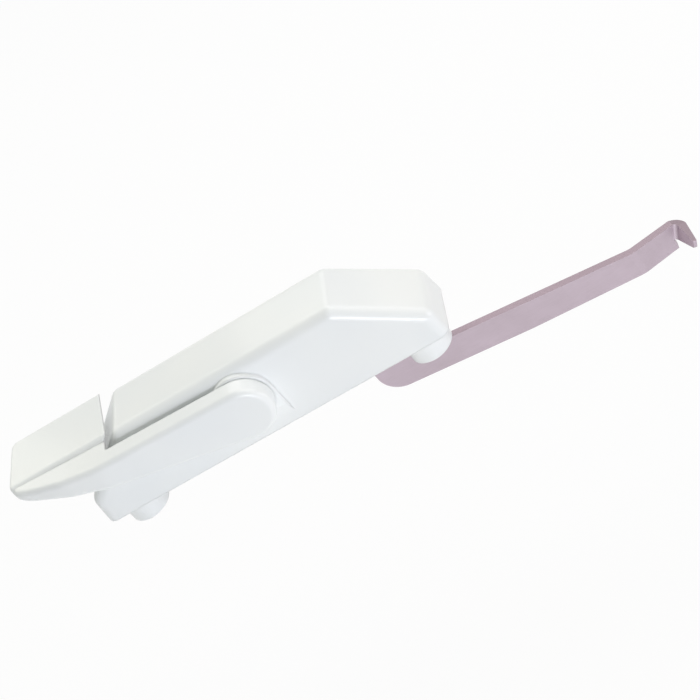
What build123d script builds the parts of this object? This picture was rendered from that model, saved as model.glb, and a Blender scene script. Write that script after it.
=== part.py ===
"""Casement sash lock: white die-cast case and lever handle with a long steel hook arm.

Frame: the origin is on the mounting face, midway between the two tapped posts.
+X runs along the case from the grip to the hook, +Y away from the handle side, +Z out of
the mounting face. The part is modelled locked, with the grip lying in line with the case.
All lengths are in millimetres and all angles in degrees.
"""
from build123d import *
from math import acos, asin, atan2, cos, degrees, hypot, radians, sin, tan
import os

# Case: a drafted shell with a flat top that slopes down to both ends
case_left = 55.8
case_right = 57.2
case_width = 22.3
case_height = 25.4
flat_length = 70.0
end_height = 8.4
end_draft = 5.0
side_draft = 1.5
wall = 2.0
edge_round = 3.2
fold_round = 3.0
end_round = 4.0

# Tapped posts, which stand below the case and locate it in the window frame
post_spacing = 95.25
post_diameter = 13.0
post_root_diameter = 12.0
post_drop = 9.2
post_edge = 0.4
tap_diameter = 3.9
tap_depth = 15.0

# Handle pivot: the axis, the round pad outside and the bearing boss inside
pivot_x = 0.8
pivot_depth = 10.7
pad_diameter = 17.8
pad_proud = 1.0
pad_edge = 0.4
pad_foot = 1.5
pad_slope_top = 7.5
boss_diameter = 14.5
boss_gap = 4.6
bush_diameter = 10.0
bush_flange_diameter = 13.4
bush_flange = 1.0
spindle_diameter = 8.0
square_side = 5.6
running_fit = 0.05

# Handle: hub, tapering lever and the grip that lies in line with the case
washer_thickness = 0.3
washer_diameter = 15.0
hub_diameter = 16.8
hub_thickness = 5.8
socket_depth = 4.2
handle_reach = 72.5
lever_drop = 0.5
lever_tip_height = 3.6
lever_round = 1.7
front_bend_run = 35.7
front_bend_depth = 9.0
front_bends = 3
front_bend_round = 20.0
tip_corner = 6.0
grip_width = 19.8
grip_start = 37.8
grip_skew = 7.0
grip_edge = 1.0
grip_flank = 1.6
grip_flank_round = 2.0
grip_corner = 2.5
grip_back = 11.2

# Crank and its pin, on the inner end of the spindle
crank_radius = 4.6
crank_start = 225.0
crank_thickness = 2.4
crank_square = 4.4
crank_pin_diameter = 3.0
crank_pin_head = 1.2
eye_diameter = 7.0
spring_height = 0.8
spring_thickness = 0.35
shim = 0.4
handle_travel = 150.0

# Hook arm: flat steel strip with an eye, a cam slot, an elbow and a bent hook finger
arm_setback = 7.15
arm_thickness = 2.4
arm_play = 0.05
arm_swing = 20.0
arm_slope = 5.8
arm_width = 9.3
arm_end_width = 7.7
taper_run = 44.3
riser_setback = 19.9
riser_width = 9.5
elbow_depth = 19.8
elbow_round = 7.0
inner_elbow_round = 3.0
shoulder_rise = 2.9
shoulder_round = 3.5
heel_drop = 8.7
neck_width = 7.6
joggle_run = 78.3
joggle_angle = 18.0
joggle_round = 4.0
finger_run = 13.4
finger_width = 4.75
finger_length = 10.0
finger_bend = 92.0
finger_skew = 25.0
finger_inner_round = 1.0
finger_tip_inset = 0.7
finger_tip_width = 2.1
finger_tip_thickness = 1.0
finger_tip_round = 0.5

# Guide pin, which the cam slot of the arm slides over
guide_setback = 1.3
guide_drop = 3.7
guide_diameter = 4.8
guide_seat = 7.0
guide_boss_diameter = 10.0
slot_play = 0.35
slot_steps = 10
collar_diameter = 8.0

# One overrun serves every cut
overrun = 1.0

half_width = case_width / 2
pivot_height = case_height - pivot_depth
lever_top = case_height - lever_drop
riser_left = post_spacing / 2 - riser_setback
guide_x = riser_left + guide_setback
guide_height = pivot_height - guide_drop
shoulder_height = pivot_height + shoulder_rise
heel_height = pivot_height - heel_drop
joggle_x = riser_left + joggle_run
pad_face = -half_width - pad_proud
hub_back = pad_face - washer_thickness
hub_front = hub_back - hub_thickness
arm_front = half_width - arm_setback
boss_end = arm_front - boss_gap
flange_end = boss_end + bush_flange
crank_front = flange_end + spring_height
crank_back = crank_front + crank_thickness
arm_back = arm_front + arm_thickness
tab_run = finger_run - finger_width * sin(radians(finger_skew))
end_lean = end_height * tan(radians(end_draft))
slope_angle = degrees(atan2(case_height - end_height, case_left - end_lean - flat_length / 2))


def side_half_width(height):
    """Half the width of the case outside at a height over the mounting face."""
    return half_width - height * tan(radians(side_draft))


def polygon(points):
    """A face in the side view, from points given as (x, height)."""
    return make_face(Polyline(*points, close=True))


def side_slab(sketch, y_from, y_to):
    """A side-view sketch given thickness from one y to another."""
    placed = Plane((0, y_from, 0), x_dir=(1, 0, 0), z_dir=(0, -1, 0)) * sketch
    return extrude(placed, amount=y_from - y_to)


def end_view_bar(points, x_from, x_to):
    """A bar along the case, from the (y, height) points of its end view."""
    placed = Plane((x_from, 0, 0), x_dir=(0, 1, 0), z_dir=(1, 0, 0)) * points
    return extrude(placed, amount=x_to - x_from)


def cross_rod(x, height, diameter, y_from, y_to):
    """A round rod or bore that lies across the case, along y."""
    return side_slab(Pos(x, height) * Circle(diameter / 2), y_from, y_to)


def turned(x, height, angle):
    """A side-view point turned by an angle about the origin, from +X towards +Z."""
    c, s = cos(radians(angle)), sin(radians(angle))
    return (x * c - height * s, x * s + height * c)


def crank_pin_at(travel):
    """Where the crank pin is once the handle has turned by an angle."""
    x, z = turned(crank_radius, 0, crank_start - travel)
    return (pivot_x + x, pivot_height + z)


def guide_in_arm(travel):
    """Where the guide pin lies on the arm, drawn as at rest, once the handle has turned."""
    pin_x, pin_z = crank_pin_at(travel)
    rest_x, rest_z = crank_pin_at(0)
    x, z = turned(guide_x - pin_x, guide_height - pin_z, arm_swing * travel / handle_travel)
    return (rest_x + x, rest_z + z)


def case_block(inset):
    """The outside of the case, or with an inset the space inside its walls."""
    drop = inset + overrun if inset else 0
    spread = drop * tan(radians(end_draft))
    flat = flat_length / 2
    outline = polygon([
        (-case_left - spread, -drop), (-case_left + end_lean, end_height), (-flat, case_height),
        (flat, case_height), (case_right - end_lean, end_height), (case_right + spread, -drop),
    ])
    if inset:
        outline = offset(outline, amount=-inset, kind=Kind.INTERSECTION)
    ends = outline.vertices().filter_by(lambda v: 0 < v.Y < case_height - 2 * wall)
    outline = fillet(ends, end_round - inset)
    folds = outline.vertices().filter_by(lambda v: v.Y > case_height - 2 * wall)
    outline = fillet(folds, fold_round)
    profile = side_slab(outline, half_width, -half_width)
    low = overrun if inset else 0
    plan_width = 2 * (side_half_width(-low) - inset)
    plan = Pos(0, 0, -low) * Rectangle(4 * case_right, plan_width)
    block = profile & extrude(plan, amount=case_height + low, taper=side_draft)
    if inset:
        return block
    sides = block.faces().filter_by(lambda f: abs(f.normal_at().Y) > cos(radians(2 * side_draft)))
    edges = sides.edges().filter_by(lambda e: e.center().Z > end_height / 4)
    return fillet(edges, edge_round)


def hanging_boss(x, height, diameter, y_from, y_to):
    """A boss on a wall that hangs from the roof, so that the core can be drawn out."""
    radius = diameter / 2
    stem = Pos(x, (height + case_height) / 2) * Rectangle(diameter, case_height - height)
    return side_slab(Pos(x, height) * Circle(radius) + stem, y_from, y_to)


def post(outer, side):
    """One tapped post: a column inside the case on a slightly wider foot below it."""
    x = side * post_spacing / 2
    column = Pos(x, 0, 0) * extrude(Circle(post_root_diameter / 2), amount=case_height)
    foot = Pos(x, 0, -post_drop) * extrude(Circle(post_diameter / 2), amount=post_drop)
    foot = chamfer(foot.edges().group_by(Axis.Z)[0], post_edge)
    return (column & outer) + foot


def tap(side):
    """The tapped hole of a post, open at its foot."""
    place = Pos(side * post_spacing / 2, 0, -post_drop - overrun)
    return place * extrude(Circle(tap_diameter / 2), amount=tap_depth + overrun)


def pivot_pad(inner_front):
    """The pad under the hub: round at the top, and sloping back into the wall at its foot."""
    pad = Pos(pivot_x, pivot_height) * Circle(pad_diameter / 2)
    pad += Pos(pivot_x, pivot_height / 2) * Rectangle(pad_diameter, pivot_height)
    block = side_slab(pad, inner_front, pad_face)
    rim = block.faces().sort_by(Axis.Y)[0].edges()
    block = chamfer(rim.filter_by(lambda e: e.center().Z > pad_edge), pad_edge)
    profile = polygon([
        (inner_front, case_height), (inner_front, pad_foot),
        (pad_edge - side_half_width(pad_foot), pad_foot),
        (pad_face, pad_slope_top), (pad_face, case_height),
    ])
    return block & end_view_bar(profile, pivot_x - pad_diameter, pivot_x + pad_diameter)


def make_housing():
    """The case: shell, posts, pivot pad, bearing boss and guide block in one casting."""
    outer = case_block(0)
    shell = outer - case_block(wall)
    inner_front = -side_half_width(0) + wall / 2
    bosses = hanging_boss(pivot_x, pivot_height, boss_diameter, inner_front, boss_end)
    bosses += hanging_boss(guide_x, guide_height, guide_boss_diameter, inner_front, arm_front - shim)
    shell += bosses & outer
    for side in (-1, 1):
        shell += post(outer, side)
    shell += pivot_pad(inner_front)
    for side in (-1, 1):
        shell -= tap(side)
    shell -= cross_rod(pivot_x, pivot_height, bush_diameter, boss_end + overrun, pad_face - overrun)
    shell -= cross_rod(guide_x, guide_height, guide_diameter, half_width + overrun,
                       arm_front - shim - guide_seat)
    return shell


def handle_plan():
    """The handle from above, measured from its pivot: straight, then in easy bends to its tip."""
    right = hub_diameter
    end = (-handle_reach, hub_front + front_bend_depth)
    back = (-handle_reach, grip_back)
    sweep = 2 * atan2(front_bend_depth, front_bend_run)
    radius = front_bend_run / sin(sweep)
    reach = radius / cos(sweep / front_bends / 2)
    corners = []
    for i in range(front_bends):
        angle = sweep * (i + 0.5) / front_bends
        corners.append((front_bend_run - handle_reach - reach * sin(angle),
                        hub_front + radius - reach * cos(angle)))
    front = FilletPolyline((right, hub_front), *corners, end, radius=front_bend_round)
    rest = Polyline(end, back, (right, grip_back), (right, hub_front))
    plan = make_face([front, rest])
    plan = fillet(plan.vertices().sort_by_distance(end)[0], tip_corner)
    return fillet(plan.vertices().sort_by_distance(back)[0], grip_corner)


def lever_outline():
    """The lever in the side view, measured from its pivot and with its top level."""
    radius = hub_diameter / 2
    low = radius - lever_tip_height
    foot = atan2(low, -handle_reach) + acos(radius / hypot(handle_reach, low))
    hub_foot = (radius * cos(foot), radius * sin(foot))
    return make_face([
        Line((0, radius), (-handle_reach, radius)),
        Line((-handle_reach, radius), (-handle_reach, low)),
        Line((-handle_reach, low), hub_foot),
        ThreePointArc(hub_foot, (radius, 0), (0, radius)),
    ])


def nest_room():
    """The room beside the grip that the sloped end of the case takes, and the lever's back."""
    top_x = pivot_x - grip_start
    rise = tan(radians(slope_angle))
    high = case_height + overrun
    right = pivot_x + 2 * hub_diameter
    outline = polygon([
        (top_x + overrun / rise, high), (top_x - case_height / rise, 0), (right, 0), (right, high),
    ])
    hinge = Pos(top_x, hub_back, 0)
    slab = hinge * Rot(0, 0, grip_skew) * hinge.inverse() * side_slab(outline, case_width, -case_width)
    behind = Pos(0, hub_back + case_width, 0) * Box(4 * handle_reach, 2 * case_width, 4 * case_height)
    return slab & behind


def grip_block(sides):
    """The raised block of the grip, inside the handle's sides, level with the top of the case."""
    end_x = pivot_x - handle_reach
    low = lever_top - lever_tip_height / 2
    front = grip_back - grip_width
    section = polygon([
        (grip_back, low), (front - grip_flank / 2, low), (front + grip_flank / 2, case_height),
        (grip_back, case_height),
    ])
    shoulder = section.vertices().sort_by_distance((front + grip_flank / 2, case_height))[0]
    section = fillet(shoulder, grip_flank_round)
    block = end_view_bar(section, end_x - overrun, pivot_x) & sides
    rim = block.edges().filter_by(lambda e: e.center().Z > case_height - grip_edge / 2)
    rim = rim.filter_by(lambda e: e.center().X < end_x + grip_corner or e.center().Y > 0)
    rim = rim.filter_by(lambda e: e.center().X < -flat_length / 2 + grip_start / 2)
    return fillet(rim, grip_edge)


def make_handle():
    """The handle: hub and lever at the front, with the grip standing behind the lever."""
    lean = asin((lever_top - pivot_height) / hypot(handle_reach, hub_diameter / 2))
    lean -= atan2(hub_diameter / 2, handle_reach)
    place = Pos(pivot_x, 0, pivot_height) * Rot(0, degrees(lean), 0)
    sides = extrude(handle_plan(), amount=case_height, both=True)
    body = side_slab(lever_outline(), grip_back + overrun, hub_front - overrun) & sides
    long_edges = body.edges().filter_by(lambda e: abs(e.tangent_at(0.5).X) > cos(radians(60)))
    body = fillet(long_edges, lever_round)
    handle = place * body + grip_block(place * sides) - nest_room()
    socket = Pos(pivot_x, pivot_height) * Rectangle(square_side, square_side)
    return handle - side_slab(socket, hub_back + overrun, hub_back - socket_depth)


def make_pivot_washer():
    """The thin washer between the hub and the pad."""
    ring = Circle(washer_diameter / 2) - Circle(spindle_diameter / 2 + running_fit)
    return side_slab(Pos(pivot_x, pivot_height) * ring, pad_face, hub_back + running_fit)


def make_spindle():
    """The spindle: round in the bushing, square in the hub and in the crank."""
    square = Pos(pivot_x, pivot_height) * Rectangle(square_side, square_side)
    spindle = cross_rod(pivot_x, pivot_height, spindle_diameter, crank_front, hub_back)
    spindle += side_slab(crank_hole(), crank_back, crank_front)
    return spindle + side_slab(square, hub_back, hub_back - socket_depth)


def make_bushing():
    """The flanged bushing that the spindle turns in."""
    bushing = cross_rod(pivot_x, pivot_height, bush_diameter, boss_end, pad_face)
    bushing += cross_rod(pivot_x, pivot_height, bush_flange_diameter, flange_end, boss_end)
    bore = spindle_diameter + 2 * running_fit
    return bushing - cross_rod(pivot_x, pivot_height, bore, flange_end + overrun, pad_face - overrun)


def make_friction_spring():
    """The coned spring washer that keeps the handle where it is left."""
    inner = spindle_diameter / 2 + 2 * running_fit
    outer = bush_flange_diameter / 2
    rise = spring_height - spring_thickness - running_fit
    section = make_face(Polyline(
        (inner, rise), (outer, 0), (outer, spring_thickness), (inner, rise + spring_thickness),
        close=True,
    ))
    ring = revolve(Plane.XZ * section, axis=Axis.Z)
    return Pos(pivot_x, flange_end, pivot_height) * Rot(-90, 0, 0) * ring


def crank_hole():
    """The square that carries the crank, with one flat side towards the crank pin."""
    return Pos(pivot_x, pivot_height) * Rot(0, 0, crank_start) * Rectangle(crank_square, crank_square)


def make_crank():
    """The crank plate: a broad end on the spindle and a small end for the crank pin."""
    pin_x, pin_z = crank_pin_at(0)
    hub = Pos(pivot_x, pivot_height) * Circle(spindle_diameter / 2 + crank_thickness / 2)
    end = Pos(pin_x, pin_z) * Circle(eye_diameter / 2)
    plate = make_hull(hub.edges() + end.edges())
    plate -= crank_hole()
    plate -= Pos(pin_x, pin_z) * Circle(crank_pin_diameter / 2)
    return side_slab(plate, crank_back, crank_front)


def make_crank_pin():
    """The rivet through the crank and the eye of the arm, with its head behind the arm."""
    x, z = crank_pin_at(0)
    head = arm_back + shim
    pin = cross_rod(x, z, crank_pin_diameter, head, crank_front)
    head_disc = cross_rod(x, z, eye_diameter - 2 * shim, head + crank_pin_head, head)
    return pin + head_disc


def make_eye_washers():
    """The two thin washers on the crank pin, one each side of the arm."""
    x, z = crank_pin_at(0)
    ring = Pos(x, z) * (Circle(eye_diameter / 2 - shim) - Circle(crank_pin_diameter / 2))
    front = side_slab(ring, arm_front - arm_play, crank_back)
    back = side_slab(ring, arm_back + shim, arm_back + arm_play)
    return Compound([front.solid(), back.solid()])


def arm_line(x, offset_down):
    """Height of a line along the long run of the arm, some way under its top edge."""
    top = -elbow_depth + arm_width / cos(radians(arm_slope))
    return top - offset_down - (x - riser_left) * tan(radians(arm_slope))


finger_top = arm_line(joggle_x + finger_run * cos(radians(joggle_angle)), 0)
finger_low = finger_top - finger_width * cos(radians(finger_skew))


def cam_slot():
    """The cam slot: every place that the guide pin takes on the arm, with its play."""
    radius = guide_diameter / 2 + slot_play
    places = [guide_in_arm(handle_travel * i / slot_steps) for i in range(slot_steps + 1)]
    slot = None
    for start, end in zip(places, places[1:]):
        a = Pos(*start) * Circle(radius)
        b = Pos(*end) * Circle(radius)
        link = make_hull(a.edges() + b.edges())
        slot = link if slot is None else slot + link
    return slot


def arm_blank():
    """The arm in the side view, before the joggle: eye, neck, riser and long run."""
    eye_x, eye_z = crank_pin_at(0)
    right = riser_left + riser_width
    taper_x = riser_left + taper_run
    tab_x = joggle_x + tab_run * cos(radians(joggle_angle))
    far_x = joggle_x + finger_run
    width = arm_width / cos(radians(arm_slope))
    end_width = arm_end_width / cos(radians(arm_slope))
    body = polygon([
        (right, shoulder_height), (riser_left - riser_width, shoulder_height),
        (eye_x, eye_z + neck_width / 2), (eye_x, eye_z - neck_width / 2),
        (riser_left, heel_height), (riser_left, -elbow_depth),
        (taper_x, arm_line(taper_x, width)), (tab_x, arm_line(tab_x, end_width)),
        (tab_x, finger_low), (far_x, finger_low), (far_x, arm_line(far_x, 0)),
        (right, arm_line(right, 0)),
    ])

    def near(x, z):
        return body.vertices().sort_by_distance((x, z))[0]

    body = fillet(near(riser_left, -elbow_depth), elbow_round)
    body = fillet(near(right, arm_line(right, 0)), inner_elbow_round)
    body = fillet(near(right, shoulder_height), shoulder_round)
    body = fillet(near(riser_left, heel_height), inner_elbow_round)
    body += Pos(eye_x, eye_z) * Circle(eye_diameter / 2)
    body -= Pos(eye_x, eye_z) * Circle(crank_pin_diameter / 2 + running_fit)
    return body - cam_slot()


def arm_ribbon():
    """The strip that the arm is cut from, seen from above: straight, then joggled back."""
    far = finger_run + overrun
    start = (pivot_x - 2 * eye_diameter, arm_front)
    corner = (joggle_x, arm_front)
    turn_x, turn_y = turned(far, 0, joggle_angle)
    end = (joggle_x + turn_x, arm_front + turn_y)
    front = FilletPolyline(start, corner, end, radius=joggle_round + arm_thickness)
    back_corner = (joggle_x - arm_thickness * tan(radians(joggle_angle / 2)), arm_back)
    back_x, back_y = turned(0, arm_thickness, joggle_angle)
    back_end = (end[0] + back_x, end[1] + back_y)
    back = FilletPolyline((start[0], arm_back), back_corner, back_end, radius=joggle_round)
    caps = [Line(start, (start[0], arm_back)), Line(end, back_end)]
    face = make_face(front.edges() + back.edges() + caps)
    return Pos(0, 0, -2 * case_height) * extrude(face, amount=4 * case_height)


def finger_plane():
    """The plane of the finger's bend: x out of the arm's end, y towards the handle side."""
    run_x, run_y = turned(finger_run, 0, joggle_angle)
    origin = (joggle_x + run_x, arm_front + run_y, finger_top)
    ahead = (cos(radians(joggle_angle)), sin(radians(joggle_angle)), 0)
    normal = Vector(-sin(radians(joggle_angle)), cos(radians(joggle_angle)), 0)
    along = Vector(*ahead).rotate(Axis((0, 0, 0), tuple(normal)), finger_skew)
    down = normal.cross(along)
    return Plane(origin, x_dir=tuple(along), z_dir=tuple(down))


def finger_section():
    """The finger in the plane of its bend: a quarter turn, then a tongue that thins out."""
    inner = finger_inner_round
    outer = inner + arm_thickness
    bend = radians(finger_bend)
    reach = finger_length - inner
    ahead = (cos(bend), sin(bend))
    inner_end = (inner * sin(bend), inner * (1 - cos(bend)))
    outer_end = (outer * sin(bend), outer * (1 - cos(bend)) - arm_thickness)
    tip_in = (inner_end[0] + reach * ahead[0], inner_end[1] + reach * ahead[1])
    tip_out = (tip_in[0] + finger_tip_thickness * ahead[1],
               tip_in[1] - finger_tip_thickness * ahead[0])
    return make_face([
        TangentArc([(0, 0), inner_end], tangent=(1, 0)),
        Line(inner_end, tip_in),
        Line(tip_in, tip_out),
        Line(tip_out, outer_end),
        RadiusArc(outer_end, (0, -arm_thickness), outer),
        Line((0, -arm_thickness), (0, 0)),
    ])


def finger_outline():
    """The finger seen along the arm: full width through the bend, then narrower to its tip."""
    tip_low = finger_tip_inset + finger_tip_width
    return make_face(Polyline(
        (-arm_thickness - overrun, 0), (finger_inner_round, 0), (finger_length, finger_tip_inset),
        (finger_length, tip_low), (finger_inner_round, finger_width),
        (-arm_thickness - overrun, finger_width),
        close=True,
    ))


def make_finger():
    """The hook finger: a narrow tongue bent forward from the top of the arm's end."""
    place = finger_plane()
    across = Plane(place.origin, x_dir=place.y_dir, z_dir=place.x_dir)
    finger = place * extrude(finger_section(), amount=finger_width)
    finger = finger & across * extrude(finger_outline(), amount=finger_length, both=True)
    tip = finger.faces().sort_by(Axis.Y)[0]
    return fillet(tip.edges().sort_by(SortBy.LENGTH)[:2], finger_tip_round)


def make_hook_arm():
    """The hook arm, bent from one strip of steel."""
    flat = side_slab(arm_blank(), half_width + case_width, -case_width) & arm_ribbon()
    beyond = Box(finger_length, 4 * arm_thickness, finger_width + overrun,
                 align=(Align.MIN, Align.CENTER, Align.MAX))
    flat -= finger_plane() * Pos(0, 0, finger_width) * beyond
    return flat + make_finger()


def make_guide_pin():
    """The cross pin that the cam slot slides over, pressed into the block and the back wall."""
    end = side_half_width(guide_height)
    return cross_rod(guide_x, guide_height, guide_diameter, end, arm_front - shim - guide_seat)


def make_guide_washer():
    """The thin washer between the guide block and the arm."""
    ring = Circle(guide_boss_diameter / 2) - Circle(guide_diameter / 2)
    return side_slab(Pos(guide_x, guide_height) * ring, arm_front - arm_play, arm_front - shim)


def make_guide_collar():
    """The collar on the guide pin that keeps the arm off the back wall."""
    wall_face = side_half_width(guide_height + collar_diameter / 2) - wall
    ring = Circle(collar_diameter / 2) - Circle(guide_diameter / 2)
    return side_slab(Pos(guide_x, guide_height) * ring, wall_face, arm_back + arm_play)


pieces = {
    "housing": make_housing,
    "handle": make_handle,
    "pivot_washer": make_pivot_washer,
    "spindle": make_spindle,
    "spindle_bushing": make_bushing,
    "friction_spring": make_friction_spring,
    "crank": make_crank,
    "crank_pin": make_crank_pin,
    "eye_washers": make_eye_washers,
    "hook_arm": make_hook_arm,
    "guide_pin": make_guide_pin,
    "guide_washer": make_guide_washer,
    "guide_collar": make_guide_collar,
}

os.makedirs("parts", exist_ok=True)
for name, make in pieces.items():
    export_step(make(), "parts/" + name + ".step")
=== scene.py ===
"""Sash lock: the finish of its pieces, and the plain stage that it is seen on.

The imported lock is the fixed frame, and no mesh of it is changed. Lengths are millimetres where a
name ends in MM, and metres otherwise, in the lock's own frame: +X along the case towards the
hook, +Y away from the handle side, +Z up from the mounting face through the case.
"""

import math

import bmesh
import bpy
from bpy.props import FloatProperty, PointerProperty, StringProperty
from mathutils import Euler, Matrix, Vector

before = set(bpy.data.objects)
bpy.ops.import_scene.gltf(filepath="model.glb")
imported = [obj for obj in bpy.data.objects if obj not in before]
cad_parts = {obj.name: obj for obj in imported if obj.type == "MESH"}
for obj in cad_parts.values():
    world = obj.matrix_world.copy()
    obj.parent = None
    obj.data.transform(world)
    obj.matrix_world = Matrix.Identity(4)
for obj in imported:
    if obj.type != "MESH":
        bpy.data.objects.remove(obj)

bl_info = {
    "name": "Sash Lock",
    "version": (1, 0, 0),
    "blender": (4, 5, 0),
    "location": "View3D > Sidebar > Sash Lock",
    "description": "Finishes a casement sash lock and sets it on a plain stage",
    "category": "Object",
}

MM = 0.001


# Colours and nodes

WHITE = "FFFFFF"

# The colour sockets of a Mix node, by place, because their names repeat
MIX_FIRST = 6
MIX_SECOND = 7
MIX_COLOUR = 2

# Most of a noise lies between these values, and its two tones are spread over them
NOISE_LOW = 0.3
NOISE_HIGH = 0.7

# The period of a wave texture of scale 1, in metres
WAVE_PERIOD = math.tau / 20


def linear(hex_colour):
    """A linear RGBA colour from an sRGB hex value such as F1F3F2."""
    shares = [int(hex_colour[i:i + 2], 16) / 255 for i in (0, 2, 4)]
    return [s / 12.92 if s <= 0.04045 else ((s + 0.055) / 1.055) ** 2.4 for s in shares] + [1.0]


def per_metre(size_mm):
    """A texture scale at which one cell of the pattern measures size_mm."""
    return 1 / (size_mm * MM)


def add_node(owner, kind, settings=None, values=None, links=None):
    """Adds a node with its settings, input values and links, and gives its outputs."""
    node = owner.node_tree.nodes.new(kind)
    for name, value in (settings or {}).items():
        setattr(node, name, value)
    for socket, value in (values or {}).items():
        node.inputs[socket].default_value = value
    for socket, source in (links or {}).items():
        owner.node_tree.links.new(source, node.inputs[socket])
    return node.outputs


def new_material(name):
    """An empty node material."""
    material = bpy.data.materials.new(name)
    material.use_nodes = True
    material.node_tree.nodes.clear()
    return material


def two_tones(material, noise, dark, light):
    """A colour that goes from dark to light with a noise."""
    share = add_node(
        material, "ShaderNodeMapRange",
        values={"From Min": NOISE_LOW, "From Max": NOISE_HIGH},
        links={"Value": noise})["Result"]
    return add_node(
        material, "ShaderNodeMix", {"data_type": "RGBA"},
        {MIX_FIRST: linear(dark), MIX_SECOND: linear(light)},
        {"Factor": share})[MIX_COLOUR]


def seen_or_mirrored(owner):
    """1 for what the camera sees, straight, in a mirror or through glass, and 0 for light."""
    rays = add_node(owner, "ShaderNodeLightPath")
    seen = rays["Is Camera Ray"]
    for kind in ("Is Glossy Ray", "Is Transmission Ray"):
        seen = add_node(
            owner, "ShaderNodeMath", {"operation": "MAXIMUM"},
            links={0: seen, 1: rays[kind]})["Value"]
    return seen


# Materials

ENAMEL_IOR = 1.5
ENAMEL_ROUGHNESS = (0.28, 0.38)
ENAMEL_GLOSS = 0.3
ENAMEL_GLOSS_ROUGHNESS = 0.1
ENAMEL_DRIFT_MM = 30.0
ENAMEL_PEEL_MM = 2.2
ENAMEL_PEEL_DEPTH_MM = 0.012

# Specks in real enamel are finer, and these are as coarse as they need to be to show
ENAMEL_SPECK_MM = 0.5
ENAMEL_SPECK_DEPTH_MM = 0.002

# The radius that the paint gives an edge, and how many directions it is felt for in
ENAMEL_ROUNDING_MM = 0.8
ENAMEL_ROUNDING_TRIES = 6


def baked_enamel(name, dark, light):
    """Baked enamel on a zinc die casting.

    Gives the eye a clean cold white with soft wide highlights: the thick paint rounds every
    corner, has a faint orange peel, and its tone drifts a little over the casting.
    """
    material = new_material(name)
    place = add_node(material, "ShaderNodeTexCoord")["Object"]
    drift = add_node(
        material, "ShaderNodeTexNoise",
        values={"Scale": per_metre(ENAMEL_DRIFT_MM), "Detail": 1.0},
        links={"Vector": place})["Fac"]
    peel = add_node(
        material, "ShaderNodeTexNoise",
        values={"Scale": per_metre(ENAMEL_PEEL_MM), "Detail": 2.0},
        links={"Vector": place})["Fac"]
    speck = add_node(
        material, "ShaderNodeTexNoise",
        values={"Scale": per_metre(ENAMEL_SPECK_MM), "Detail": 3.0},
        links={"Vector": place})["Fac"]
    rounded = add_node(
        material, "ShaderNodeBevel", {"samples": ENAMEL_ROUNDING_TRIES},
        {"Radius": ENAMEL_ROUNDING_MM * MM})["Normal"]
    peeled = add_node(
        material, "ShaderNodeBump",
        values={"Distance": ENAMEL_PEEL_DEPTH_MM * MM},
        links={"Height": peel, "Normal": rounded})["Normal"]
    normal = add_node(
        material, "ShaderNodeBump",
        values={"Distance": ENAMEL_SPECK_DEPTH_MM * MM},
        links={"Height": speck, "Normal": peeled})["Normal"]
    smooth, rough = ENAMEL_ROUGHNESS
    roughness = add_node(
        material, "ShaderNodeMapRange",
        values={"To Min": smooth, "To Max": rough},
        links={"Value": speck})["Result"]
    shader = add_node(
        material, "ShaderNodeBsdfPrincipled",
        values={
            "IOR": ENAMEL_IOR,
            "Coat Weight": ENAMEL_GLOSS,
            "Coat Roughness": ENAMEL_GLOSS_ROUGHNESS,
        },
        links={
            "Base Color": two_tones(material, drift, dark, light),
            "Roughness": roughness,
            "Normal": normal,
        })["BSDF"]
    add_node(material, "ShaderNodeOutputMaterial", links={"Surface": shader})
    return material


# The plating is dull and a little powdery, so it isn't wholly metallic
PLATING_METALLIC = 0.75
PLATING_ROUGHNESS = (0.42, 0.58)
STRIP_CLOUD_MM = 9.0

# The rolling lines of real strip are finer, and these are as coarse as they need to be to show
STRIP_GRAIN_MM = 0.35
STRIP_GRAIN_DEPTH_MM = 0.004
STRIP_GRAIN_STRETCH = 8
STRIP_GRAIN_SHARE = 0.35

# The darker edge tone begins, and is full, where the normal points this much up or down: partly
# the duller tone where the die cut the strip, and partly painted shade
SHEARED_AND_SHADED_FROM = 0.5
SHEARED_AND_SHADED_TO = 0.8


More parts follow.
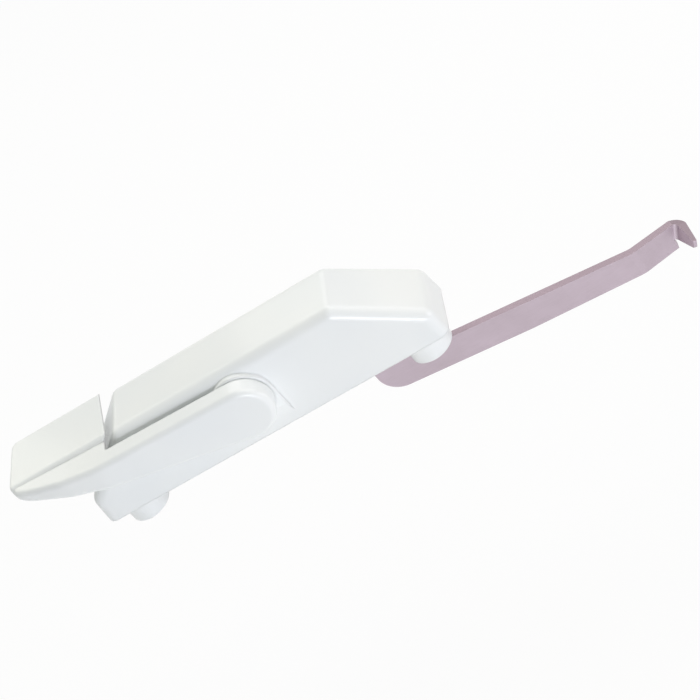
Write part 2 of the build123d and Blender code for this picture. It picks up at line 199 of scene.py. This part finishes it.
def stamped_steel(name, dark, light, sheared_and_shaded):
    """Stamped strip steel with a matt zinc plating.

    Gives the eye a dull pinkish grey with a fine grain along the strip, and darker faces above
    and below: partly the duller tone where the die cut through it, and partly painted shade.
    """
    material = new_material(name)
    place = add_node(material, "ShaderNodeTexCoord")
    along = add_node(
        material, "ShaderNodeMapping",
        values={"Scale": (1 / STRIP_GRAIN_STRETCH, 1, 1)},
        links={"Vector": place["Object"]})["Vector"]
    grain = add_node(
        material, "ShaderNodeTexNoise",
        values={"Scale": per_metre(STRIP_GRAIN_MM), "Detail": 3.0},
        links={"Vector": along})["Fac"]
    cloud = add_node(
        material, "ShaderNodeTexNoise",
        values={"Scale": per_metre(STRIP_CLOUD_MM), "Detail": 3.0},
        links={"Vector": place["Object"]})["Fac"]
    pattern = add_node(
        material, "ShaderNodeMix",
        values={"Factor": STRIP_GRAIN_SHARE},
        links={"A": cloud, "B": grain})["Result"]
    # Painted shade, partly the duller cut edge: every face that points up or down takes the darker
    # edge tone
    upward = add_node(
        material, "ShaderNodeSeparateXYZ",
        links={"Vector": place["Normal"]})["Z"]
    upright = add_node(
        material, "ShaderNodeMath", {"operation": "ABSOLUTE"},
        links={"Value": upward})["Value"]
    edge = add_node(
        material, "ShaderNodeMapRange",
        values={"From Min": SHEARED_AND_SHADED_FROM, "From Max": SHEARED_AND_SHADED_TO},
        links={"Value": upright})["Result"]
    colour = add_node(
        material, "ShaderNodeMix", {"data_type": "RGBA"},
        {MIX_SECOND: linear(sheared_and_shaded)},
        {"Factor": edge, MIX_FIRST: two_tones(material, pattern, dark, light)})[MIX_COLOUR]
    smooth, rough = PLATING_ROUGHNESS
    roughness = add_node(
        material, "ShaderNodeMapRange",
        values={"To Min": smooth, "To Max": rough},
        links={"Value": cloud})["Result"]
    normal = add_node(
        material, "ShaderNodeBump",
        values={"Distance": STRIP_GRAIN_DEPTH_MM * MM},
        links={"Height": grain})["Normal"]
    shader = add_node(
        material, "ShaderNodeBsdfPrincipled",
        values={"Metallic": PLATING_METALLIC},
        links={"Base Color": colour, "Roughness": roughness, "Normal": normal})["BSDF"]
    add_node(material, "ShaderNodeOutputMaterial", links={"Surface": shader})
    return material


BARE_STEEL_ROUGHNESS = (0.29, 0.43)
BRONZE_ROUGHNESS = (0.39, 0.53)
TURNING_PITCH_MM = 0.3
TURNING_WANDER = 0.6
TURNING_DEPTH_MM = 0.006
METAL_STAIN_MM = 3.0


def turned_metal(name, dark, light, roughness_range):
    """Bare metal, turned on a lathe or pressed in turned dies.

    Gives the eye fine rings round the pivots, which lie along Y, and a faint stain.
    """
    material = new_material(name)
    place = add_node(material, "ShaderNodeTexCoord")["Object"]
    rings = add_node(
        material, "ShaderNodeTexWave", {"bands_direction": "Y"},
        {
            "Scale": WAVE_PERIOD * per_metre(TURNING_PITCH_MM),
            "Distortion": TURNING_WANDER,
            "Detail": 2.0,
        },
        {"Vector": place})["Fac"]
    stain = add_node(
        material, "ShaderNodeTexNoise",
        values={"Scale": per_metre(METAL_STAIN_MM), "Detail": 3.0},
        links={"Vector": place})["Fac"]
    smooth, rough = roughness_range
    roughness = add_node(
        material, "ShaderNodeMapRange",
        values={"To Min": smooth, "To Max": rough},
        links={"Value": stain})["Result"]
    normal = add_node(
        material, "ShaderNodeBump",
        values={"Distance": TURNING_DEPTH_MM * MM},
        links={"Height": rings})["Normal"]
    shader = add_node(
        material, "ShaderNodeBsdfPrincipled",
        values={"Metallic": 1.0},
        links={
            "Base Color": two_tones(material, stain, dark, light),
            "Roughness": roughness,
            "Normal": normal,
        })["BSDF"]
    add_node(material, "ShaderNodeOutputMaterial", links={"Surface": shader})
    return material


NYLON_IOR = 1.53
NYLON_ROUGHNESS = (0.42, 0.52)
NYLON_GLOW = 0.1
NYLON_GLOW_REACH_MM = 1.0
NYLON_CLOUD_MM = 4.0

# The mould's grain is finer, and this is as coarse as it needs to be to show
NYLON_GRAIN_MM = 0.4
NYLON_GRAIN_DEPTH_MM = 0.004


def moulded_nylon(name, dark, light):
    """Natural nylon, moulded.

    Gives the eye a slightly yellow, waxy white with a dull sheen.
    """
    material = new_material(name)
    place = add_node(material, "ShaderNodeTexCoord")["Object"]
    cloud = add_node(
        material, "ShaderNodeTexNoise",
        values={"Scale": per_metre(NYLON_CLOUD_MM), "Detail": 2.0},
        links={"Vector": place})["Fac"]
    grain = add_node(
        material, "ShaderNodeTexNoise",
        values={"Scale": per_metre(NYLON_GRAIN_MM), "Detail": 2.0},
        links={"Vector": place})["Fac"]
    smooth, rough = NYLON_ROUGHNESS
    roughness = add_node(
        material, "ShaderNodeMapRange",
        values={"To Min": smooth, "To Max": rough},
        links={"Value": cloud})["Result"]
    normal = add_node(
        material, "ShaderNodeBump",
        values={"Distance": NYLON_GRAIN_DEPTH_MM * MM},
        links={"Height": grain})["Normal"]
    shader = add_node(
        material, "ShaderNodeBsdfPrincipled",
        values={
            "IOR": NYLON_IOR,
            "Subsurface Weight": NYLON_GLOW,
            "Subsurface Scale": NYLON_GLOW_REACH_MM * MM,
        },
        links={
            "Base Color": two_tones(material, cloud, dark, light),
            "Roughness": roughness,
            "Normal": normal,
        })["BSDF"]
    add_node(material, "ShaderNodeOutputMaterial", links={"Surface": shader})
    return material


# Settings

def colour_setting(label, about, hex_colour):
    """A colour property whose default is an sRGB hex value."""
    return StringProperty(name=label, description=about, default=hex_colour, maxlen=6)


class SashLockColours(bpy.types.PropertyGroup):
    """The colours of the lock's finishes, as sRGB hex values."""
    enamel: colour_setting("Enamel", "Light tone of the white enamel", "F1F3F2")
    enamel_shade: colour_setting("Enamel Shade", "Dark tone of the white enamel", "ECEFF0")
    plating: colour_setting("Plating", "Light tone of the arm's plating", "BFB1BA")
    plating_shade: colour_setting("Plating Shade", "Dark tone of the arm's plating", "B5A7AF")
    # Partly the duller tone of the cut edges and partly painted shade, on the arm's faces that
    # point up or down
    sheared_edge_and_shade: colour_setting("Sheared Edge And Shade", "Tone of the arm's sheared edges", "8E7F86")
    bronze: colour_setting("Bronze", "Light tone of the bush", "B08A52")
    bronze_shade: colour_setting("Bronze Shade", "Dark tone of the bush", "8E6B3C")
    blued_steel: colour_setting("Blued Steel", "Light tone of the spring", "4A4B52")
    blued_steel_shade: colour_setting("Blued Steel Shade", "Dark tone of the spring", "34353B")
    bright_steel: colour_setting("Bright Steel", "Light tone of the turned steel", "A9A7A4")
    bright_steel_shade: colour_setting(
        "Bright Steel Shade", "Dark tone of the turned steel", "8F8D8B")
    nylon: colour_setting("Nylon", "Light tone of the nylon washers", "E4E2D8")
    nylon_shade: colour_setting("Nylon Shade", "Dark tone of the nylon washers", "D8D5C8")


class SashLockStage(bpy.types.PropertyGroup):
    """The floor, the light and the camera."""
    floor_drop: FloatProperty(
        name="Floor Drop", description="How far the floor lies below the mounting face",
        default=0.080, min=0.07, subtype="DISTANCE", unit="LENGTH")
    world_light: FloatProperty(
        name="World Light", description="Strength of the even light from all round",
        default=0.265, min=0)
    high_light: FloatProperty(
        name="High Light", description="Power of the back softbox, which the high ones follow",
        default=1.65, min=0, subtype="POWER", unit="POWER")
    low_light: FloatProperty(
        name="Low Light", description="Power of the front softbox, which the low ones follow",
        default=1.28, min=0, subtype="POWER", unit="POWER")
    lens: FloatProperty(
        name="Lens", description="Focal length of the camera",
        default=0.0998, min=0.01, subtype="DISTANCE_CAMERA", unit="CAMERA")


# Pieces

def finish_nodes(names, material):
    """Gives CAD nodes a material in place of their plain one."""
    for name in names:
        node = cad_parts[name]
        node.data.materials.clear()
        node.data.materials.append(material)


class SASHLOCK_OT_case(bpy.types.Operator):
    """Enamel the case casting"""
    bl_idname = "sashlock.case"
    bl_label = "Case"

    def execute(self, context):
        tones = context.scene.sash_lock_colours
        enamel = baked_enamel("baked_enamel_case", tones.enamel_shade, tones.enamel)
        finish_nodes(["housing"], enamel)
        return {"FINISHED"}


class SASHLOCK_OT_handle(bpy.types.Operator):
    """Enamel the handle casting"""
    bl_idname = "sashlock.handle"
    bl_label = "Handle"

    def execute(self, context):
        tones = context.scene.sash_lock_colours
        enamel = baked_enamel("baked_enamel_handle", tones.enamel_shade, tones.enamel)
        finish_nodes(["handle"], enamel)
        return {"FINISHED"}


class SASHLOCK_OT_arm(bpy.types.Operator):
    """Plate the stamped steel hook arm"""
    bl_idname = "sashlock.arm"
    bl_label = "Hook Arm"

    def execute(self, context):
        tones = context.scene.sash_lock_colours
        # Its last tone is painted shade on the faces above and below, partly the duller cut edge
        steel = stamped_steel(
            "plated_strip_steel", tones.plating_shade, tones.plating, tones.sheared_edge_and_shade)
        finish_nodes(["hook_arm"], steel)
        return {"FINISHED"}


class SASHLOCK_OT_bearing(bpy.types.Operator):
    """Finish the spindle's bearing: bushing, cone spring and the thin washer"""
    bl_idname = "sashlock.bearing"
    bl_label = "Bearing"

    def execute(self, context):
        tones = context.scene.sash_lock_colours
        # Sintered bronze is a dull brown gold, matt from its open pores
        bronze = turned_metal(
            "sintered_bronze", tones.bronze_shade, tones.bronze, BRONZE_ROUGHNESS)
        finish_nodes(["spindle_bushing"], bronze)
        # Spring steel is blued as it is tempered, so it is near black with a cold tone
        blued = turned_metal(
            "blued_spring_steel", tones.blued_steel_shade, tones.blued_steel,
            BARE_STEEL_ROUGHNESS)
        finish_nodes(["friction_spring"], blued)
        nylon = moulded_nylon("natural_nylon_pivot", tones.nylon_shade, tones.nylon)
        finish_nodes(["pivot_washer"], nylon)
        return {"FINISHED"}


class SASHLOCK_OT_crank(bpy.types.Operator):
    """Finish the spindle, the crank, its pin and the eye's washers"""
    bl_idname = "sashlock.crank"
    bl_label = "Crank"

    def execute(self, context):
        tones = context.scene.sash_lock_colours
        # Bright steel is bare, a plain mid grey with a soft shine
        steel = turned_metal(
            "turned_bright_steel", tones.bright_steel_shade, tones.bright_steel,
            BARE_STEEL_ROUGHNESS)
        finish_nodes(["spindle", "crank", "crank_pin"], steel)
        nylon = moulded_nylon("natural_nylon_eye", tones.nylon_shade, tones.nylon)
        finish_nodes(["eye_washers"], nylon)
        return {"FINISHED"}


class SASHLOCK_OT_guide(bpy.types.Operator):
    """Finish the guide pin, its washer and its collar"""
    bl_idname = "sashlock.guide"
    bl_label = "Guide"

    def execute(self, context):
        tones = context.scene.sash_lock_colours
        steel = turned_metal(
            "turned_guide_steel", tones.bright_steel_shade, tones.bright_steel,
            BARE_STEEL_ROUGHNESS)
        finish_nodes(["guide_pin"], steel)
        nylon = moulded_nylon("natural_nylon_guide", tones.nylon_shade, tones.nylon)
        finish_nodes(["guide_washer", "guide_collar"], nylon)
        return {"FINISHED"}


# Stage

FLOOR_SIZE = 6.0
PAPER_DARK = "EDEDED"
PAPER_LIGHT = "EFEFEF"
PAPER_ROUGHNESS = 0.9
PAPER_SHINE = 0.2

# The fibres of real paper are finer, and this is as coarse as they need to be to show
PAPER_GRAIN_MM = 3.0

# How much of the floor shows as plain white: the rest is lit paper, which carries the shadow
FLOOR_WHITE_SHARE = 0.93

WORLD_TINT = "FDFFF8"
AIM_MM = (20.0, 0.0, 0.0)
CAMERA_PLACE_MM = (179.32, -405.86, 305.64)
CAMERA_TURN_DEG = (46.950, 32.988, -6.606)
CAMERA_SENSOR_MM = 36.0
CAMERA_NEAR = 0.01
CAMERA_FAR = 10.0

# Softboxes: place and size in millimetres, share of the high or low light, and tint
HIGH_SOFTBOXES = {
    "back": ((0.0, 450.0, 600.0), 500.0, 1.0, "FBFBFF"),
    "back_right": ((450.0, 350.0, 450.0), 400.0, 0.56, "FBF8FF"),
    "back_left": ((-450.0, 350.0, 450.0), 400.0, 0.55, "FFFFF3"),
    "right_high": ((350.0, 100.0, 600.0), 400.0, 0.60, "FFFDE9"),
}
LOW_SOFTBOXES = {
    "front": ((50.0, -700.0, 60.0), 250.0, 1.0, "F9FBFF"),
    "front_right": ((250.0, -700.0, 20.0), 200.0, 0.90, "EEF0FF"),
    "right": ((700.0, -100.0, 60.0), 250.0, 0.60, "F8F4FF"),
}


def floor_material():
    """Matt white paper.

    Gives the eye a near white ground without a shine, which keeps the lock's soft shadow.
    """
    material = new_material("white_paper_floor")
    place = add_node(material, "ShaderNodeTexCoord")["Object"]
    grain = add_node(
        material, "ShaderNodeTexNoise",
        values={"Scale": per_metre(PAPER_GRAIN_MM), "Detail": 2.0},
        links={"Vector": place})["Fac"]
    paper = add_node(
        material, "ShaderNodeBsdfPrincipled",
        values={"Roughness": PAPER_ROUGHNESS, "Specular IOR Level": PAPER_SHINE},
        links={"Base Color": two_tones(material, grain, PAPER_DARK, PAPER_LIGHT)})["BSDF"]
    white = add_node(
        material, "ShaderNodeEmission",
        values={"Color": linear(WHITE), "Strength": 1.0})["Emission"]
    share = add_node(
        material, "ShaderNodeMapRange",
        values={"To Max": FLOOR_WHITE_SHARE},
        links={"Value": seen_or_mirrored(material)})["Result"]
    mixed = add_node(
        material, "ShaderNodeMixShader",
        links={0: share, 1: paper, 2: white})["Shader"]
    add_node(material, "ShaderNodeOutputMaterial", links={"Surface": mixed})
    return material


def make_floor(drop):
    """One wide plane below the lock."""
    bm = bmesh.new()
    bmesh.ops.create_grid(bm, x_segments=1, y_segments=1, size=FLOOR_SIZE / 2)
    bmesh.ops.translate(bm, verts=bm.verts, vec=(0, 0, -drop))
    mesh = bpy.data.meshes.new("floor")
    bm.to_mesh(mesh)
    bm.free()
    mesh.materials.append(floor_material())
    floor = bpy.data.objects.new("floor", mesh)
    bpy.context.scene.collection.objects.link(floor)


def make_world(strength):
    """Dim even light from all round, in a room that is seen and mirrored as white."""
    world = bpy.data.worlds.new("studio")
    bpy.context.scene.world = world
    world.use_nodes = True
    world.node_tree.nodes.clear()
    light = add_node(
        world, "ShaderNodeBackground",
        values={"Color": linear(WORLD_TINT), "Strength": strength})["Background"]
    white = add_node(
        world, "ShaderNodeBackground",
        values={"Color": linear(WHITE), "Strength": 1.0})["Background"]
    mixed = add_node(
        world, "ShaderNodeMixShader",
        links={0: seen_or_mirrored(world), 1: light, 2: white})["Shader"]
    add_node(world, "ShaderNodeOutputWorld", links={"Surface": mixed})


def make_softbox(name, place_mm, size_mm, power, tint):
    """A square area lamp that faces the lock, out of the camera's sight."""
    data = bpy.data.lights.new(name, "AREA")
    data.shape = "SQUARE"
    data.size = size_mm * MM
    data.energy = power
    data.color = linear(tint)[:3]
    lamp = bpy.data.objects.new(name, data)
    lamp.visible_camera = False
    lamp.location = Vector(place_mm) * MM
    towards = Vector(AIM_MM) * MM - lamp.location
    lamp.rotation_euler = towards.to_track_quat("-Z", "Y").to_euler()
    bpy.context.scene.collection.objects.link(lamp)


def make_camera(lens):
    """The camera at the photograph's angle."""
    data = bpy.data.cameras.new("camera")
    data.sensor_width = CAMERA_SENSOR_MM
    data.lens = lens / MM
    data.clip_start = CAMERA_NEAR
    data.clip_end = CAMERA_FAR
    camera = bpy.data.objects.new("camera", data)
    camera.location = Vector(CAMERA_PLACE_MM) * MM
    camera.rotation_euler = Euler([math.radians(turn) for turn in CAMERA_TURN_DEG], "XYZ")
    bpy.context.scene.collection.objects.link(camera)
    bpy.context.scene.camera = camera


class SASHLOCK_OT_stage(bpy.types.Operator):
    """Lay the floor, light the lock and place the camera"""
    bl_idname = "sashlock.stage"
    bl_label = "Stage"

    def execute(self, context):
        stage = context.scene.sash_lock_stage
        make_floor(stage.floor_drop)
        make_world(stage.world_light)
        for softboxes, light in (
                (HIGH_SOFTBOXES, stage.high_light), (LOW_SOFTBOXES, stage.low_light)):
            for name, (place_mm, size_mm, share, tint) in softboxes.items():
                make_softbox(name, place_mm, size_mm, light * share, tint)
        make_camera(stage.lens)
        context.scene.view_settings.view_transform = "Standard"
        return {"FINISHED"}


OPERATORS = (
    SASHLOCK_OT_case,
    SASHLOCK_OT_handle,
    SASHLOCK_OT_arm,
    SASHLOCK_OT_bearing,
    SASHLOCK_OT_crank,
    SASHLOCK_OT_guide,
    SASHLOCK_OT_stage,
)


class SASHLOCK_PT_panel(bpy.types.Panel):
    """The lock's pieces and its stage"""
    bl_idname = "SASHLOCK_PT_panel"
    bl_label = "Sash Lock"
    bl_space_type = "VIEW_3D"
    bl_region_type = "UI"
    bl_category = "Sash Lock"

    def draw(self, context):
        for settings in (context.scene.sash_lock_colours, context.scene.sash_lock_stage):
            for name in settings.bl_rna.properties.keys():
                if name not in ("rna_type", "name"):
                    self.layout.prop(settings, name)
        for operator in OPERATORS:
            self.layout.operator(operator.bl_idname)


CLASSES = (SashLockColours, SashLockStage, *OPERATORS, SASHLOCK_PT_panel)


def register():
    """Registers the classes and gives the scene its settings."""
    for cls in CLASSES:
        bpy.utils.register_class(cls)
    bpy.types.Scene.sash_lock_colours = PointerProperty(type=SashLockColours)
    bpy.types.Scene.sash_lock_stage = PointerProperty(type=SashLockStage)


def unregister():
    """Takes away what register gave."""
    del bpy.types.Scene.sash_lock_stage
    del bpy.types.Scene.sash_lock_colours
    for cls in reversed(CLASSES):
        bpy.utils.unregister_class(cls)


def main():
    """Makes everything."""
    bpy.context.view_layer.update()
    register()
    for operator in OPERATORS:
        group, name = operator.bl_idname.split(".")
        getattr(getattr(bpy.ops, group), name)()


if __name__ == "__main__":
    main()
